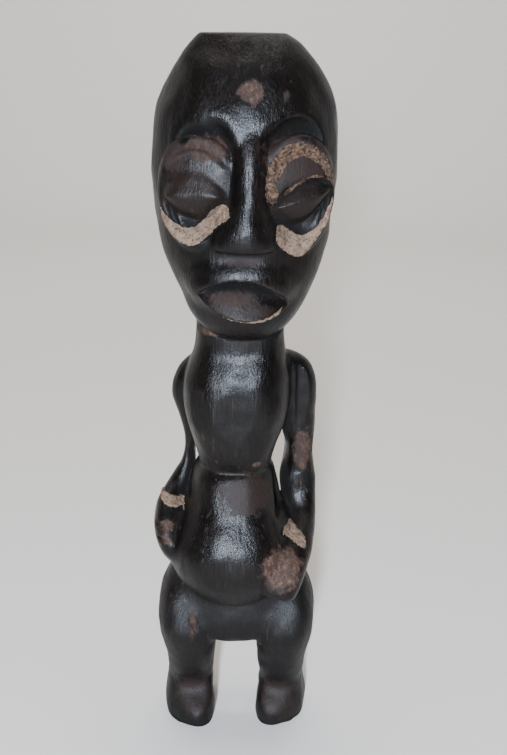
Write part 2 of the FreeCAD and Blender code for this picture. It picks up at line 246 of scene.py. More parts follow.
# %% Fetch, soften and mark
def bench_copy(node):
    """A copy of one solid's mesh on the bench, merged and in millimetres."""
    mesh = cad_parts[node].data.copy()
    thing = bpy.data.objects.new("carved_" + node, mesh)
    bpy.context.scene.collection.objects.link(thing)
    mesh.transform(Matrix.Scale(1 / MM, 4))
    only(thing)
    bpy.ops.object.mode_set(mode="EDIT")
    bpy.ops.mesh.select_all(action="SELECT")
    bpy.ops.mesh.remove_doubles(threshold=0.002)
    bpy.ops.object.mode_set(mode="OBJECT")
    mesh.materials.clear()
    return thing


def soften(body, spots, rounds, strength=0.5):
    """Smooths the surface only near some spots, each (centre, radius), fading to nothing at the radius."""
    group = body.vertex_groups.new(name="soft")
    for vertex in body.data.vertices:
        weight = 0.0
        for centre, radius in spots:
            nearness = 1 - (vertex.co - Vector(centre)).length / radius
            weight = max(weight, min(1.0, 2 * nearness))
        if weight > 0:
            group.add([vertex.index], weight, "REPLACE")
    finish_with(body, "SMOOTH", factor=strength, iterations=rounds, vertex_group="soft")
    body.vertex_groups.clear()


def mark_edges(body):
    """Stores how far each point stands out from the same surface smoothed, in mm, as the attribute edge."""
    smoother = bpy.data.objects.new("smoother", body.data.copy())
    bpy.context.scene.collection.objects.link(smoother)
    finish_with(smoother, "SMOOTH", factor=0.5, iterations=10)
    outward = body.data.attributes.new("edge", "FLOAT", "POINT")
    for point, smooth in zip(body.data.vertices, smoother.data.vertices):
        outward.data[point.index].value = (point.co - smooth.co).dot(point.normal)
    bpy.data.objects.remove(smoother, do_unlink=True)


def knife_flats(body, size, depth):
    """Broad shallow unevenness, as a knife and a rasp leave it."""
    pattern = bpy.data.textures.new("flats", "CLOUDS")
    pattern.noise_scale = size
    pattern.noise_depth = 0
    finish_with(body, "DISPLACE", texture=pattern, texture_coords="LOCAL", strength=depth, mid_level=0.5)


# %% [markdown]
# ## The head
# The head is an egg with its top sawn flat. It is grown ring by ring from the chin to the crown, so that
# its outline can be steered at every height. The brow is hollowed above and beside each eye, which leaves
# the forehead and the bridge of the nose standing as one Y, and the muzzle swells below. These masses run
# softly into one another, so they are joined and smoothed first, on a coarse net, where smoothing reaches
# far.

# %% Head blank
CHIN, CROWN = 186.5, 300.0
HEAD_HALF_WIDTH, FACE_DEPTH, SKULL_DEPTH = 35.8, 33.0, 30.5
HEAD_SHARES = [
    (0.000, -0.02, 0.280, 0.640, -0.02), (0.003, 0.00, 0.32, 0.670, 0.02), (0.024, 0.00, 0.440, 0.775, 0.10),
    (0.066, 0.03, 0.565, 0.850, 0.24), (0.136, 0.03, 0.690, 0.915, 0.42), (0.225, 0.03, 0.820, 0.955, 0.63),
    (0.330, 0.02, 0.925, 0.970, 0.82), (0.454, 0.01, 0.988, 0.985, 0.95), (0.577, 0.02, 1.008, 1.00, 1.00),
    (0.700, 0.02, 0.998, 0.970, 0.97), (0.806, 0.03, 0.925, 0.865, 0.87), (0.894, 0.03, 0.785, 0.700, 0.69),
    (0.958, 0.02, 0.620, 0.530, 0.51), (1.000, -0.01, 0.450, 0.405, 0.38), (1.040, -0.03, 0.25, 0.25, 0.24),
]


def head_outline(share, lean, width, front, back):
    return (CHIN + share * (CROWN - CHIN), lean * HEAD_HALF_WIDTH, width * HEAD_HALF_WIDTH,
            front * FACE_DEPTH, back * SKULL_DEPTH)


head = grown([head_outline(*shares) for shares in HEAD_SHARES])
head.name = "carved_head"
print("head blank:", [round(size, 1) for size in head.dimensions])

# %% Brow hollows and muzzle
SOCKET_X, SOCKET_Z = 19.75, 244.0
EYE_TURN = 20.0
FACE_ROUND = 2.3            # the face seen from above: 2 is an ellipse, and more is squarer


def face_reach(x):
    """How far forward the face stands at a distance x from its middle."""
    return FACE_DEPTH * (1 - abs(x / HEAD_HALF_WIDTH) ** FACE_ROUND) ** (1 / FACE_ROUND)


def eye_place(side):
    """The place of one eye: its middle on the face, turned outwards; side is +1 for the doll's left."""
    middle = Matrix.Translation((side * SOCKET_X, -face_reach(SOCKET_X), SOCKET_Z))
    return middle @ Matrix.Rotation(math.radians(side * EYE_TURN), 4, "Z")


def at_eye(tool, side):
    tool.data.transform(eye_place(side))
    return tool


join_on(head, egg((-0.5, -17.0, 211.0), (23.0, 18.2, 15.5)))
cut_away(head, at_eye(egg((2.0, -4.4, 16.5), (19.0, 10.6, 16.5), lean=-4), 1))
cut_away(head, at_eye(egg((-9.0, -5.0, 10.0), (9.6, 12.4, 21.0), lean=9), 1))
cut_away(head, at_eye(egg((-1.0, -4.4, 14.5), (18.5, 10.4, 17.5), lean=6), -1))
cut_away(head, at_eye(egg((8.8, -5.0, 12.0), (10.0, 12.6, 22.0), lean=-7), -1))
cut_away(head, egg((0, -40.2, 219.6), (17, 5.2, 4.0)))
remesh(head, 1.3)
finish_with(head, "SMOOTH", factor=0.5, iterations=9)
knife_flats(head, 14.0, 1.3)
finish_with(head, "SUBSURF", levels=1, render_levels=1)
cut_away(head, at_eye(egg((2.0, -0.5, 18.0), (15.5, 7.8, 12.8), lean=-6), 1))
print("head masses:", len(head.data.polygons), "faces")

# %% [markdown]
# ## Nose
# The nose is a narrow straight bridge with a flat top and steep sides, and a blunt, flat-bottomed base. It
# is grown upwards from the base and opens out at the top, where it runs into the forehead.

# %% Nose
NOSE_ROOT = 20.0
NOSE_SHAPE = [
    (223.6, -0.2, 10.8, 36.4), (224.2, -0.2, 12.0, 37.4), (227.0, -0.2, 12.4, 38.2),
    (230.0, -0.1, 11.4, 38.3), (233.0, 0.2, 9.8, 38.1), (237.0, 0.5, 8.2, 37.7),
    (242.0, 0.8, 7.4, 37.2), (249.0, 0.9, 7.0, 36.4), (257.0, 1.0, 7.0, 34.8),
    (263.0, 1.2, 7.4, 32.9), (269.0, 1.4, 8.2, 30.2), (276.0, 1.6, 9.0, 27.0),
]
nose_outlines = [(height, x, half_width, reach, -NOSE_ROOT) for height, x, half_width, reach in NOSE_SHAPE]
nose = grown(nose_outlines, squareness=1.15)
print("nose:", [round(size, 1) for size in nose.dimensions])
join_on(head, nose)

# %% [markdown]
# ## Eyes
# A low rounded rim runs round each socket, so a flattened ring is sunk into the face before the socket is
# scooped. The upper part of each socket is filled by the dome of the upper lid. Over its lower edge lies one
# almond, cut to two flats that meet in a ridge from corner to corner: a circle is pulled to an almond,
# extruded forwards and squeezed to the ridge. On the doll's left eye the wood under the almond is cut back,
# so that its lower edge throws a shadow.


# %% Rims and sockets
def rim(half_width, half_height, middle_x, middle_z, thick):
    """An oval ring that follows the curve of the face, its lower half sunk a little."""
    bpy.ops.object.select_all(action="DESELECT")
    bpy.ops.mesh.primitive_torus_add(major_segments=72, minor_segments=20, major_radius=1.0,
                                     minor_radius=thick / half_width, rotation=(math.radians(90), 0, 0))
    bpy.ops.object.transform_apply(location=True, rotation=True, scale=True)
    ring = bpy.context.object
    for vertex in ring.data.vertices:
        across = vertex.co.x * half_width
        curve = across ** 2 / 55
        sink = 1.9 * max(0.0, -vertex.co.z)
        vertex.co = (across + middle_x, vertex.co.y * half_width + curve + sink,
                     vertex.co.z * half_height + middle_z)
    return ring


RIM_SUNK = 2.0
left_rim = rim(14.8, 19.4, 0.4, -0.2, 2.2)
left_rim.data.transform(Matrix.Translation((0, RIM_SUNK, 0)))
right_rim = rim(14.8, 18.6, 0.8, 0.2, 2.2)
right_rim.data.transform(Matrix.Translation((0, RIM_SUNK, 0)))
join_on(head, at_eye(left_rim, 1))
join_on(head, at_eye(right_rim, -1))
cut_away(head, at_eye(egg((0.6, -4.6, -1.4), (13.7, 13.0, 20.2)), 1))
cut_away(head, at_eye(egg((1.2, -4.6, -0.4), (13.5, 13.0, 18.4)), -1))
print("sockets cut:", len(head.data.polygons), "faces")


# %% The shape of a lid
def almond(half_width, above, below, slope, points=40):
    """A flat almond in the XZ plane, pointed at both ends, its ends at different heights."""
    bpy.ops.object.select_all(action="DESELECT")
    bpy.ops.mesh.primitive_circle_add(vertices=points, radius=1, fill_type="NGON",
                                      rotation=(math.radians(90), 0, 0))
    bpy.ops.object.transform_apply(location=True, rotation=True, scale=True)
    shape = bpy.context.object
    for vertex in shape.data.vertices:
        across = vertex.co.x
        height = above if vertex.co.z > 0 else below
        arch = (1 - across ** 2) ** 0.80
        vertex.co.z = math.copysign(arch * height, vertex.co.z) + slope * across * half_width
        vertex.co.x = across * half_width
    return shape


def extrude_on(forward, narrower, flatter):
    """Extrudes the selected face along -Y and squeezes it."""
    bpy.ops.mesh.extrude_region_move(TRANSFORM_OT_translate={"value": (0, -forward, 0)})
    bpy.ops.transform.resize(value=(narrower, 1, flatter), center_override=(0, 0, 0))


def pulled_forward(shape, steps):
    """Turns a flat shape into a solid: each step is (forward, share of width, share of height)."""
    only(shape)
    bpy.ops.object.mode_set(mode="EDIT")
    bpy.ops.mesh.select_all(action="SELECT")
    for step in steps:
        extrude_on(*step)
    set_outward()
    bpy.ops.object.mode_set(mode="OBJECT")
    return shape


def lid(half_width, above, below, slope, floor, swell):
    """An almond that rises from its floor by swell and closes to a ridge from corner to corner."""
    shape = almond(half_width, above, below, 0.0)
    shape.data.transform(Matrix.Translation((0, floor, 0)))
    pulled_forward(shape, [(4.6, 1.0, 1.0), (swell * 0.40, 0.97, 0.80), (swell * 0.34, 0.94, 0.58),
                           (swell * 0.22, 0.92, 0.30), (swell * 0.06, 0.95, 0.30)])
    for vertex in shape.data.vertices:
        vertex.co.z += slope * vertex.co.x
        vertex.co.y += vertex.co.x ** 2 / 90
    return shape


# %% Lids
right_lid = lid(12.6, 13.4, 8.6, 0.04, 8.8, 6.6)
right_lid.data.transform(Matrix.Translation((0.3, 0, -0.2)))
left_lid = lid(12.4, 6.6, 9.4, 0.26, 9.6, 6.4)
left_lid.data.transform(Matrix.Translation((1.6, 0, -1.0)))
under_left_lid = almond(12.7, 7.2, 12.0, 0.26)
under_left_lid.data.transform(Matrix.Translation((1.6, 6.0, -1.0)))
pulled_forward(under_left_lid, [(20.0, 1.0, 1.0)])
right_dome = egg((0.6, 7.2, 4.0), (16.5, 6.7, 17.5))
left_dome = egg((0.6, 7.2, 4.5), (16.5, 7.2, 17.5))
for side, dome in ((-1, right_dome), (1, left_dome)):
    cut_away(dome, chisel((0, 0, -26), (80, 80, 50)))
    join_on(head, at_eye(dome, side))
cut_away(head, at_eye(under_left_lid, 1))
join_on(head, at_eye(right_lid, -1))
join_on(head, at_eye(left_lid, 1))
print("eyes cut:", len(head.data.polygons), "faces")

# %% [markdown]
# ## Mouth
# The muzzle ends in a sharp arched edge. Under that edge the mouth is one almond shelf that slopes forwards
# to a sharp lower rim, like a bill. The shelf is an almond whose front face is slanted, set in an almond
# opening that is a little larger. Its front face is inset in steps, so that the slant can bow evenly.

# %% Lip
MOUTH_Z = 204.6
MOUTH_HALF_WIDTH = 17.2
ARCH, LIP_DROP = 7.6, 6.0


def slanted_almond(half_width, above, below, back, top_reach, bottom_reach, slope=-0.10):
    """A bar with an almond section whose front leans out towards the bottom and bows round the teeth."""
    bar = almond(half_width, above, below, 0.0, points=64)
    bar.data.transform(Matrix.Translation((0, -back, 0)))
    pulled_forward(bar, [(40, 1.0, 1.0)] + [(0, 0.80, 0.80)] * 8)
    for vertex in bar.data.vertices:
        if vertex.co.y < -back - 20:
            down = (above - vertex.co.z) / (above + below)
            bow = 6.5 * abs(vertex.co.x / half_width) ** 2
            steep = max(0.0, min(1.0, down)) ** 0.65
            vertex.co.y = -(top_reach + (bottom_reach - top_reach) * steep - bow)
        vertex.co.z += slope * vertex.co.x
    bar.data.transform(Matrix.Translation((-0.4, 0, MOUTH_Z)))
    return bar


opening = slanted_almond(MOUTH_HALF_WIDTH + 0.9, ARCH + 1.0, LIP_DROP + 0.8, 10.0, 60, 60)
cut_away(opening, slanted_almond(MOUTH_HALF_WIDTH + 4, ARCH + 4, LIP_DROP + 4, 8.0, 26.5, 33.5))
cut_away(head, opening)
join_on(head, slanted_almond(MOUTH_HALF_WIDTH, ARCH, LIP_DROP, 8.0, 28.6, 37.2))
print("mouth:", len(head.data.polygons), "faces")

# %% [markdown]
# ## One skin over the head
# The crown is sawn flat with a box, and a fine voxel remesh turns the joined masses into one even skin.
# It is smoothed only a little, because the edges of the eyes, nose and mouth are crisp on the carving.

# %% Skin and smoothing
HEAD_NET = 0.61             # mm
bpy.ops.object.select_all(action="DESELECT")
bpy.ops.mesh.primitive_cube_add(size=100, location=(0, 0, CROWN + 50), rotation=(0, math.radians(-0.6), 0))
bpy.ops.object.transform_apply(location=True, rotation=True, scale=True)
cut_away(head, bpy.context.object)
remesh(head, HEAD_NET)
finish_with(head, "SMOOTH", factor=0.5, iterations=2)
soften(head, [((-1, -34, 268), 9), ((6, -33, 270), 8), ((0, -37, 219), 6)], rounds=25)
soften(head, [((-20, -26, 244), 22), ((22, -26, 244), 22)], rounds=8)
knife_flats(head, 7.0, 0.35)
mark_edges(head)
head.data.transform(FACE_PLACE)
print("head:", len(head.data.polygons), "faces")

# %% [markdown]
# ## Trunk, arms and legs
# Below the head the wood is one continuous surface with creases in it, and a crease must not look like a
# gap between two parts. So the nine solids of the body are joined on the bench under one net, carved as one
# block, and divided again at the end, each face going to the solid that it lies nearest to.

# %% One block
BODY_NET = 0.60             # mm
SWELL = 0.12                # mm, so that touching solids overlap and the net joins them
BODY_NODES = ["neck_chest", "belly", "hips", "left_arm", "right_arm", "left_leg", "right_leg", "left_foot",
              "right_foot"]


def block_of(nodes):
    """The copies of these solids, a little swollen, under one even net."""
    copies = [bench_copy(node) for node in nodes]
    for copy in copies:
        finish_with(copy, "DISPLACE", strength=SWELL, mid_level=0.0)
    bpy.ops.object.select_all(action="DESELECT")
    for copy in copies:
        copy.select_set(True)
    bpy.context.view_layer.objects.active = copies[0]
    bpy.ops.object.join()
    block = bpy.context.object
    block.name = "block"
    remesh(block, BODY_NET)
    return block


trunk = block_of(BODY_NODES)
print("block:", len(trunk.data.polygons), "faces")

# %% [markdown]
# ## Creases, flats and cuts
# The solids meet at hard edges, which a knife would have left rounder, so the groin, the hips, the ankles and
# the hands are softened first. Flats and single cuts follow, each with the tool that would have made it.

# %% Flats and gouges
finish_with(trunk, "SMOOTH", factor=0.5, iterations=5)
soften(trunk, [((-17, -13, 62), 15), ((17, -13, 62), 15), ((-25, 0, 70), 14), ((25, 0, 70), 14),
               ((-12, -8, 50), 9), ((12, -8, 50), 9), ((-20, 14, 55), 18), ((20, 14, 55), 18)], rounds=90)
soften(trunk, [((-20, -8, 18), 15), ((20, -8, 18), 15), ((-20, -18, 9), 15), ((20, -17, 9), 15),
               ((27, -24, 84), 11), ((-31, -17, 90), 10)], rounds=200, strength=0.8)
knife_flats(trunk, 13.0, 0.9)
CUTS = [
    chisel((-1.5, -24.6, 160), (30, 10, 60)),                       # flat front of the chest
    chisel((16.0, -20.8, 162), (18, 8, 64), turn=35),               # its left-hand facet
    chisel((-18.0, -19.6, 160), (18, 8, 60), turn=-38),             # its right-hand facet
    egg((-4.8, -26.3, 111.5), (0.5, 1.6, 9.5), nod=-26),            # two upright cuts on the belly
    egg((1.7, -25.6, 111.5), (0.5, 1.6, 9.0), nod=-26),
    chisel((17.2, -9, 117), (5.0, 24, 17), lean=-6),                # trough between belly and left arm
    chisel((29, 1.2, 150), (12, 10, 60)),                           # flat of the left upper arm
    egg((28, -5.5, 112), (11, 8.5, 7)),                             # bend of the left elbow
    egg((-34.5, -15.0, 103.4), (4.2, 5, 1.5), lean=15),             # notches in the right forearm
    egg((-33.8, -18.0, 98.6), (3.8, 5, 1.3), lean=15),
    egg((-19.4, -18.6, 59), (0.9, 2.6, 7), lean=-25),               # nick in the right thigh
]
for cut in CUTS:
    cut_away(trunk, cut)
remesh(trunk, BODY_NET)
finish_with(trunk, "SMOOTH", factor=0.5, iterations=3)
knife_flats(trunk, 6.0, 0.35)
mark_edges(trunk)
print("carved block:", len(trunk.data.polygons), "faces")

# %% [markdown]
# ## Dividing the block
# Each solid of the checked model has to be covered by a piece of its own. So every face of the carved block
# goes to the nearest solid, and the pieces are cut apart along those lines. The open side of each piece is
# closed with flat faces inside the wood, where they don't show.

# %% Which faces belong to which solid
solids = [bench_copy(node) for node in BODY_NODES]
corners, triangles, owner = [], [], []
for number, solid in enumerate(solids):
    first = len(corners)
    corners.extend(vertex.co.copy() for vertex in solid.data.vertices)
    triangles.extend([first + index for index in polygon.vertices] for polygon in solid.data.polygons)
    owner.extend([number] * len(solid.data.polygons))
    bpy.data.objects.remove(solid, do_unlink=True)
nearest = BVHTree.FromPolygons(corners, triangles)
belongs = [owner[nearest.find_nearest(polygon.center)[2]] for polygon in trunk.data.polygons]


# %% Take the pieces apart
def take(number, node):
    """The faces of the block that belong to one solid, with the open side closed inside the wood."""
    form = bpy.data.objects.new("carved_" + node, trunk.data.copy())
    bpy.context.scene.collection.objects.link(form)
    for polygon in form.data.polygons:
        polygon.select = belongs[polygon.index] != number
    only(form)
    bpy.ops.object.mode_set(mode="EDIT")
    bpy.ops.mesh.select_mode(type="FACE")
    bpy.ops.mesh.delete(type="FACE")
    bpy.ops.mesh.select_all(action="SELECT")
    bpy.ops.mesh.fill_holes(sides=0)
    bpy.ops.object.mode_set(mode="OBJECT")
    print(node, len(form.data.polygons), "faces")
    return form


wood_forms = [head] + [take(number, node) for number, node in enumerate(BODY_NODES)]

# %% [markdown]
# ## Clay
# The clay was pressed into the cuts with a finger, so it has a ragged edge and a lumpy skin. Each patch is
# outlined by a few points and pushed through the wood as a punch. What the punch shares with a slightly
# swollen copy of the wood is a patch that fits the wood exactly; remeshing and lumps then roughen it.


# %% Punch
def punch(outline, front, back, ragged=0.5):
    """A bar along Y whose section is a smooth closed line drawn near the points, with a ragged edge."""
    line = bpy.data.curves.new("outline", "CURVE")
    line.dimensions = "3D"
    line.resolution_u = 8
    spline = line.splines.new("NURBS")
    spline.points.add(len(outline) - 1)
    for point, (x, z) in zip(spline.points, outline):
        point.co = (x, front, z, 1)
    spline.use_cyclic_u = True
    spline.order_u = 3
    shape = bpy.data.objects.new("punch", line)
    bpy.context.scene.collection.objects.link(shape)
    only(shape)
    bpy.ops.object.convert(target="MESH")
    shape = bpy.context.object
    for vertex in shape.data.vertices:
        here = vertex.co.copy()
        vertex.co.x += ragged * noise.noise(here * 0.9)
        vertex.co.z += ragged * noise.noise(here * 0.9 + Vector((40, 0, 0)))
    bpy.ops.object.mode_set(mode="EDIT")
    bpy.ops.mesh.select_all(action="SELECT")
    bpy.ops.mesh.edge_face_add()
    bpy.ops.mesh.extrude_region_move(TRANSFORM_OT_translate={"value": (0, back - front, 0)})
    set_outward()
    bpy.ops.object.mode_set(mode="OBJECT")
    return shape


def face_punch(outline, back=-20.0, ragged=0.5):
    """A punch through the face, turned with it; it starts in front of the nose."""
    bar = punch(outline, -48.0, back, ragged)
    bar.data.transform(FACE_PLACE)
    return bar


# %% Clay patch
CLAY_NET = 0.30             # mm


def clay_patch(node, ground, punches, thickness=0.8):
    """Clay as thick as thickness on the ground, wherever one of the punches goes through it."""
    patch = None
    for bar in punches:
        layer = bpy.data.objects.new("carved_" + node, ground.data.copy())
        bpy.context.scene.collection.objects.link(layer)
        finish_with(layer, "DISPLACE", strength=thickness, mid_level=0.0)
        keep_inside(layer, bar)
        if patch is None:
            patch = layer
        else:
            join_on(patch, layer)
    remesh(patch, CLAY_NET)
    finish_with(patch, "SMOOTH", factor=0.5, iterations=2)
    finish_with(patch, "DISPLACE", strength=-0.25, mid_level=0.0)
    lumps = bpy.data.textures.new("lumps", "CLOUDS")
    lumps.noise_scale = 1.7
    lumps.noise_depth = 2
    finish_with(patch, "DISPLACE", texture=lumps, texture_coords="LOCAL", strength=0.7, mid_level=0.5)
    print(node, len(patch.data.polygons), "faces")
    return patch


# %% [markdown]
# ## Where the clay lies
# There is a crescent under each eye, a ring round the doll's left eye, a thread on the edge of its lid, a
# line under the lip and a band on each wrist. Each outline is (x, z) in millimetres, as seen from the front.

# %% Clay outlines and patches
RIGHT_CRESCENT = [(-31.8, 240), (-30.8, 233), (-27, 227.4), (-21, 224.2), (-15, 227.4), (-10.6, 233.4),
                  (-5.4, 236.4), (-7.0, 242.2), (-13, 239.4), (-15.6, 234), (-20, 231.2), (-26, 232.8),
                  (-30.2, 237)]
LEFT_CRESCENT = [(10.6, 232.6), (11.4, 226.2), (15.6, 222.8), (21, 220.4), (24.6, 223.8), (29, 229.6),
                 (32.6, 236), (33.6, 244), (31.4, 240.5), (29, 234.6), (25.4, 230.8), (21, 228.8),
                 (16.8, 230.6), (13.2, 233.8)]
BROW_RING = [(7.6, 240.5), (6.4, 248), (7.6, 255.4), (11, 260.8), (16, 263.8), (22.4, 263.8),
             (28.6, 260), (32.8, 253), (34.2, 245.5), (31.8, 247), (29.2, 252), (25.4, 256.4),
             (20.5, 258.4), (15.6, 256.8), (12.6, 253), (11.4, 248), (12.2, 242)]
LID_EDGE = [(13.6, 245.6), (17.4, 248.6), (21, 250.8), (25, 251.8), (28.6, 251.2), (28.2, 249.6),
            (24.6, 250), (21, 248.9), (17.6, 246.8), (14.2, 244)]
LIP_RIM = [(-10, 200.4), (-5, 199.2), (1, 198.8), (7, 199.4), (12, 201.4), (15.4, 203.8), (12.8, 199.6),
           (8, 196.8), (1, 196.8), (-5, 198.2)]
LEFT_WRIST = [(18.4, 104.6), (23, 103.2), (28.8, 99.4), (28.4, 96.2), (23, 99.2), (19.2, 101.8)]
RIGHT_WRIST = [(-33.6, 114.2), (-28, 113.2), (-22.6, 111.0), (-23, 108.2), (-28.4, 109.6), (-33.8, 111.4)]
clay_forms = [
    clay_patch("right_eye_clay", head, [face_punch(RIGHT_CRESCENT)]),
    clay_patch("left_eye_clay", head, [face_punch(LEFT_CRESCENT)]),
    clay_patch("brow_clay", head, [face_punch(BROW_RING, ragged=1.2), face_punch(LID_EDGE)], 0.5),
    clay_patch("lip_clay", head, [face_punch(LIP_RIM, back=-26.0)], 0.6),
    clay_patch("left_wrist_clay", trunk, [punch(LEFT_WRIST, -30.0, -4.0)]),
    clay_patch("right_wrist_clay", trunk, [punch(RIGHT_WRIST, -22.0, 4.0)]),
]

# %% [markdown]
# ## Wood
# The wood is nearly black and rubbed to a satin shine. Its colour and gloss come from upright fibres, from
# the broad strokes of the rasp, and from wear, which shows reddish brown on the edges, on a few places that
# were rubbed bare, and in thin scratches that run in three directions. The same reddish brown is partly
# painted light on the upper part of the lip, and painted light on the tops of the feet, which face up. The
# legs were handled less than the body, so they are duller. All of it is drawn by a net of nodes, because a
# painted picture would first need the skin laid out flat.


# %% Material helpers
class Board:
    """A material's node tree, with short ways to add and join its nodes."""

    def __init__(self, name):
        self.material = bpy.data.materials.new(name)
        self.material.use_nodes = True
        self.tree = self.material.node_tree
        self.shader = self.tree.nodes["Principled BSDF"]
        self.place = self.add("ShaderNodeTexCoord").outputs["Object"]

    def add(self, kind, **settings):
        node = self.tree.nodes.new(kind)
        for name, value in settings.items():
            setattr(node, name, value)
        return node

    def feed(self, socket, value):
        if hasattr(value, "is_output"):
            self.tree.links.new(value, socket)
        else:
            socket.default_value = value

    def stretched(self, x, y, z, lean=0):
        node = self.add("ShaderNodeMapping")
        self.feed(node.inputs["Vector"], self.place)
        node.inputs["Scale"].default_value = (x, y, z)
        node.inputs["Rotation"].default_value = (0, math.radians(lean), 0)
        return node.outputs["Vector"]

    def noise(self, where, scale, detail=3.0, roughness=0.5, distortion=0.0):
        node = self.add("ShaderNodeTexNoise")
        self.feed(node.inputs["Vector"], where)
        node.inputs["Scale"].default_value = scale
        node.inputs["Detail"].default_value = detail
        node.inputs["Roughness"].default_value = roughness
        node.inputs["Distortion"].default_value = distortion
        return node.outputs["Fac"]

    def span(self, value, low, high, new_low=0.0, new_high=1.0):
        node = self.add("ShaderNodeMapRange")
        self.feed(node.inputs["Value"], value)
        node.inputs["From Min"].default_value = low
        node.inputs["From Max"].default_value = high
        node.inputs["To Min"].default_value = new_low
        node.inputs["To Max"].default_value = new_high
        return node.outputs["Result"]

    def sum(self, how, first, second):
        node = self.add("ShaderNodeMath", operation=how)
        self.feed(node.inputs[0], first)
        self.feed(node.inputs[1], second)
        return node.outputs["Value"]

    def blend(self, share, first, second):
        node = self.add("ShaderNodeMix", data_type="RGBA")
        self.feed(node.inputs["Factor"], share)
        self.feed(node.inputs[6], first)
        self.feed(node.inputs[7], second)
        return node.outputs[2]

    def spot(self, centre, radii, ragged, edge=0.35):
        """1 inside an ellipsoid (millimetres) and 0 outside, with an edge broken up by ragged."""
        node = self.add("ShaderNodeMapping", vector_type="TEXTURE")
        self.feed(node.inputs["Vector"], self.place)
        node.inputs["Location"].default_value = [MM * value for value in centre]
        node.inputs["Scale"].default_value = [MM * value for value in radii]
        length = self.add("ShaderNodeVectorMath", operation="LENGTH")
        self.feed(length.inputs[0], node.outputs["Vector"])
        uneven = self.sum("ADD", length.outputs["Value"], self.span(ragged, 0.3, 0.7, -0.35, 0.35))
        return self.span(uneven, 1.0 + edge / 2, 1.0 - edge / 2)

    def bump(self, height, strength, distance, under=None):
        node = self.add("ShaderNodeBump")
        node.inputs["Strength"].default_value = strength
        node.inputs["Distance"].default_value = distance
        self.feed(node.inputs["Height"], height)
        if under is not None:
            self.feed(node.inputs["Normal"], under)
        return node.outputs["Normal"]


# %% Colours and rubbed places
NEAR_BLACK = (0.0010, 0.0008, 0.0007, 1)
DARK_BROWN = (0.0070, 0.0040, 0.0029, 1)
REDDISH = (0.028, 0.0150, 0.0108, 1)
BARE_WOOD = (0.082, 0.048, 0.031, 1)
SCRATCHES = (16, -24, 75)           # how far each set of scratches leans, in degrees
LEGS_DULL = (0.095, 0.065)          # the heights, in metres, where the dulling starts and is complete

# Places rubbed down to brown wood; the lip's reddish tone and the brown on the tops of the feet also stand
# for painted light: middle and half sizes in millimetres, and how far it has gone.
RUBBED_AND_PAINTED_LIGHT = [
    ((18.5, -27, 91.5), (8.5, 12, 8.0), 1.0),       # back of the left hand
    ((27, 6, 131), (4.5, 7, 9), 0.7),               # left elbow
    ((2.8, -24, 280.5), (4.2, 6, 4.2), 0.8),        # forehead
    ((15.5, -24, 279.5), (2.0, 4, 3.0), 0.5),
    ((-13.5, -26, 260.5), (8, 8, 4.6), 0.60),       # rims above the eyes
    ((-26, -24, 258), (7, 8, 6), 0.35),
    ((20, -24, 256), (14, 9, 9), 0.40),
    ((-30, -14, 103.4), (3.6, 5, 2.2), 0.8),        # right forearm
    ((-30.4, -17, 98.6), (2.4, 5, 1.8), 0.8),
    ((4.5, -19, 121), (13, 10, 8.5), 0.34),         # top of the belly
    ((7.2, -16, 133.6), (2.0, 5, 1.2), 0.8),        # foot of the chest
    ((-14, -10, 188.4), (8, 8, 1.6), 0.7),          # crease under the chin
    ((-19, -17, 58.5), (1.5, 6, 6.5), 0.6),         # right thigh
    # the lip's own reddish tone, laid on its upper part, which faces up, so here it is partly painted light
    ((-4, -32, 206.5), (10, 9, 2.6), 0.50),         # lip
    ((-1, -34, 203), (15, 9, 6), 0.28),
    ((-19, -27, 247), (13, 9, 12), 0.16),           # eyelids, dull with handling
    ((20, -27, 245), (13, 9, 12), 0.16),
    ((0, -34, 220.5), (12, 8, 2.0), 0.30),          # under the nose
    # painted light: the tops of the feet, which face up, are painted lighter brown, and they are also made
    # duller
    ((-18, -10, 15), (9, 16, 8), 0.32),             # tops of the feet
    ((19, -9, 15), (9, 16, 8), 0.32),
]


